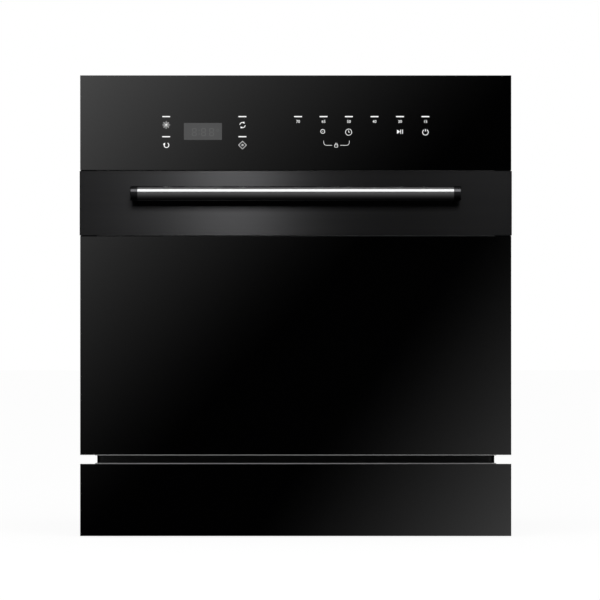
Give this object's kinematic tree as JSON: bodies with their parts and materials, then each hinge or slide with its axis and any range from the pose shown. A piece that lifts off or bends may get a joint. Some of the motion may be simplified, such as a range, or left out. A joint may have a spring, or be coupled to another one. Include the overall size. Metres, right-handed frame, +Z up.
{
  "type": "dishwasher",
  "caption": "Compact built-in dishwasher with a black glass drop-down door, a bar handle, touch controls, wire racks and spray arms",
  "frame": {"origin": "on the floor under the middle of the whole appliance's box", "axes": "+X right seen from the front, +Y towards the back, +Z up; the door faces -Y"},
  "size_m": [0.5966, 0.542, 0.6373],
  "materials": {
    "black_glass": "polished black tempered glass",
    "black_brushed": "brushed black steel",
    "bright_steel": "bright brushed",
    "black_caps": "gloss black",
    "stainless": "satin stainless sheet",
    "zinc_steel": "zinc-plated steel",
    "black_steel": "black powder coat",
    "grey_plastic": "moulded grey",
    "black_plastic": "moulded black",
    "white_plastic": "moulded white",
    "rubber": "matt seal rubber",
    "coated_wire": "grey nylon-coated steel wire",
    "board": "green circuit board",
    "display": "smoked display window"
  },
  "bodies": {
    "cabinet": {"base_tray": "black_plastic", "tub_wrap": "stainless", "tub_rear": "stainless", "tub_floor": "stainless", "side_panel_left": "black_steel", "side_panel_right": "black_steel", "top_cover": "zinc_steel", "rear_panel": "zinc_steel", "kick_panel": "black_glass", "kick_carrier": "zinc_steel", "door_seal": "rubber", "sump": "grey_plastic", "filter_plate": "stainless", "wash_pump": "black_plastic", "drain_pump": "white_plastic", "water_softener": "white_plastic", "inlet_valve": "white_plastic", "drain_spigot": "grey_plastic", "terminal_box": "black_plastic", "feed_manifold": "grey_plastic", "hinge_brackets": "zinc_steel", "door_springs": "zinc_steel", "latch_strike": "stainless", "fixed_rails": "stainless"},
    "door": {"door_shell": "zinc_steel", "hinge_arms": "zinc_steel", "door_liner": "stainless", "door_glass": "black_glass", "control_glass": "black_glass", "handle_band": "black_brushed", "handle_bar": "bright_steel", "handle_posts": "black_caps", "control_housing": "black_plastic", "control_board": "board", "display_module": "display", "door_latch": "white_plastic", "dispenser_body": "grey_plastic"},
    "dispenser_lid": {"dispenser_lid": "grey_plastic"},
    "rinse_cap": {"rinse_cap": "grey_plastic"},
    "lower_rack": {"lower_rack": "coated_wire", "wheel_clips": "grey_plastic"},
    "cutlery_basket": {"cutlery_basket": "grey_plastic"},
    "slide_rails": {"slide_rails": "stainless"},
    "upper_rack": {"upper_rack": "coated_wire", "rack_rails": "stainless", "upper_feed_tube": "grey_plastic"},
    "cup_shelf": {"cup_shelf": "grey_plastic"},
    "upper_spray_arm": {"upper_spray_arm": "grey_plastic"},
    "lower_spray_arm": {"lower_spray_arm": "grey_plastic"},
    "salt_cap": {"salt_cap": "white_plastic"},
    "filter_cup": {"filter_cup": "grey_plastic"},
    "overfill_float": {"overfill_float": "white_plastic"},
    "wheel_front_left": {"wheel_front_left": "grey_plastic"},
    "foot_front_left": {"foot_front_left": "black_plastic"},
    "wheel_front_right": {"wheel_front_right": "grey_plastic"},
    "foot_front_right": {"foot_front_right": "black_plastic"},
    "wheel_rear_left": {"wheel_rear_left": "grey_plastic"},
    "foot_rear_left": {"foot_rear_left": "black_plastic"},
    "wheel_rear_right": {"wheel_rear_right": "grey_plastic"},
    "foot_rear_right": {"foot_rear_right": "black_plastic"}
  },
  "joints": [
    {"name": "door_hinge", "type": "hinge", "parent": "cabinet", "child": "door", "pos_m": [0, -0.209, 0.1283], "axis": [1, 0, 0], "range_deg": [0, 90], "stiffness_Nm_per_rad": 12},
    {"name": "lower_rack_slide", "type": "slide", "parent": "cabinet", "child": "lower_rack", "axis": [0, -1, 0], "range_m": [0, 0.36]},
    {"name": "rail_slide", "type": "slide", "parent": "cabinet", "child": "slide_rails", "axis": [0, -1, 0], "range_m": [0, 0.18]},
    {"name": "upper_rack_slide", "type": "slide", "parent": "slide_rails", "child": "upper_rack", "axis": [0, -1, 0], "range_m": [0, 0.18]},
    {"name": "dispenser_lid_slide", "type": "slide", "parent": "door", "child": "dispenser_lid", "axis": [0, 0, -1], "range_m": [0, 0.042]},
    {"name": "rinse_cap_turn", "type": "hinge", "parent": "door", "child": "rinse_cap", "pos_m": [0.042, -0.18, 0.3428], "axis": [0, 1, 0], "range_deg": [0, 90]},
    {"name": "cutlery_basket_lift", "type": "slide", "parent": "lower_rack", "child": "cutlery_basket", "axis": [0, 0, 1], "range_m": [0, 0.05]},
    {"name": "cup_shelf_fold", "type": "hinge", "parent": "upper_rack", "child": "cup_shelf", "pos_m": [-0.2277, 0, 0.5196], "axis": [0, -1, 0], "range_deg": [0, 85]},
    {"name": "upper_arm_spin", "type": "hinge", "parent": "upper_rack", "child": "upper_spray_arm", "pos_m": [0, 0.005, 0.4383], "axis": [0, 0, 1], "continuous": true},
    {"name": "lower_arm_spin", "type": "hinge", "parent": "cabinet", "child": "lower_spray_arm", "pos_m": [0, 0.005, 0.162], "axis": [0, 0, 1], "continuous": true},
    {"name": "salt_cap_turn", "type": "hinge", "parent": "cabinet", "child": "salt_cap", "pos_m": [-0.196, -0.137, 0.147], "axis": [0, 0, 1], "range_deg": [0, 90]},
    {"name": "filter_cup_turn", "type": "hinge", "parent": "cabinet", "child": "filter_cup", "pos_m": [0.036, -0.03, 0.144], "axis": [0, 0, 1], "range_deg": [0, 60]},
    {"name": "float_lift", "type": "slide", "parent": "cabinet", "child": "overfill_float", "axis": [0, 0, 1], "range_m": [0, 0.008]},
    {"name": "wheel_front_left_roll", "type": "hinge", "parent": "lower_rack", "child": "wheel_front_left", "pos_m": [-0.2445, -0.11986, 0.1696], "axis": [1, 0, 0], "continuous": true},
    {"name": "foot_front_left_level", "type": "slide", "parent": "cabinet", "child": "foot_front_left", "axis": [0, 0, -1], "range_m": [0, 0.015]},
    {"name": "wheel_front_right_roll", "type": "hinge", "parent": "lower_rack", "child": "wheel_front_right", "pos_m": [0.2445, -0.11986, 0.1696], "axis": [1, 0, 0], "continuous": true},
    {"name": "foot_front_right_level", "type": "slide", "parent": "cabinet", "child": "foot_front_right", "axis": [0, 0, -1], "range_m": [0, 0.015]},
    {"name": "wheel_rear_left_roll", "type": "hinge", "parent": "lower_rack", "child": "wheel_rear_left", "pos_m": [-0.2445, 0.14086, 0.1696], "axis": [1, 0, 0], "continuous": true},
    {"name": "foot_rear_left_level", "type": "slide", "parent": "cabinet", "child": "foot_rear_left", "axis": [0, 0, -1], "range_m": [0, 0.015]},
    {"name": "wheel_rear_right_roll", "type": "hinge", "parent": "lower_rack", "child": "wheel_rear_right", "pos_m": [0.2445, 0.14086, 0.1696], "axis": [1, 0, 0], "continuous": true},
    {"name": "foot_rear_right_level", "type": "slide", "parent": "cabinet", "child": "foot_rear_right", "axis": [0, 0, -1], "range_m": [0, 0.015]}
  ],
  "couplings": [
    {"joint": "lower_rack_slide", "follows": "door_hinge", "m_per_rad": 0.045},
    {"joint": "rail_slide", "follows": "door_hinge", "m_per_rad": 0.1},
    {"joint": "upper_rack_slide", "follows": "door_hinge", "m_per_rad": 0.1},
    {"joint": "wheel_front_left_roll", "follows": "door_hinge", "ratio": 2.8125},
    {"joint": "wheel_front_right_roll", "follows": "door_hinge", "ratio": 2.8125},
    {"joint": "wheel_rear_left_roll", "follows": "door_hinge", "ratio": 2.8125},
    {"joint": "wheel_rear_right_roll", "follows": "door_hinge", "ratio": 2.8125}
  ]
}
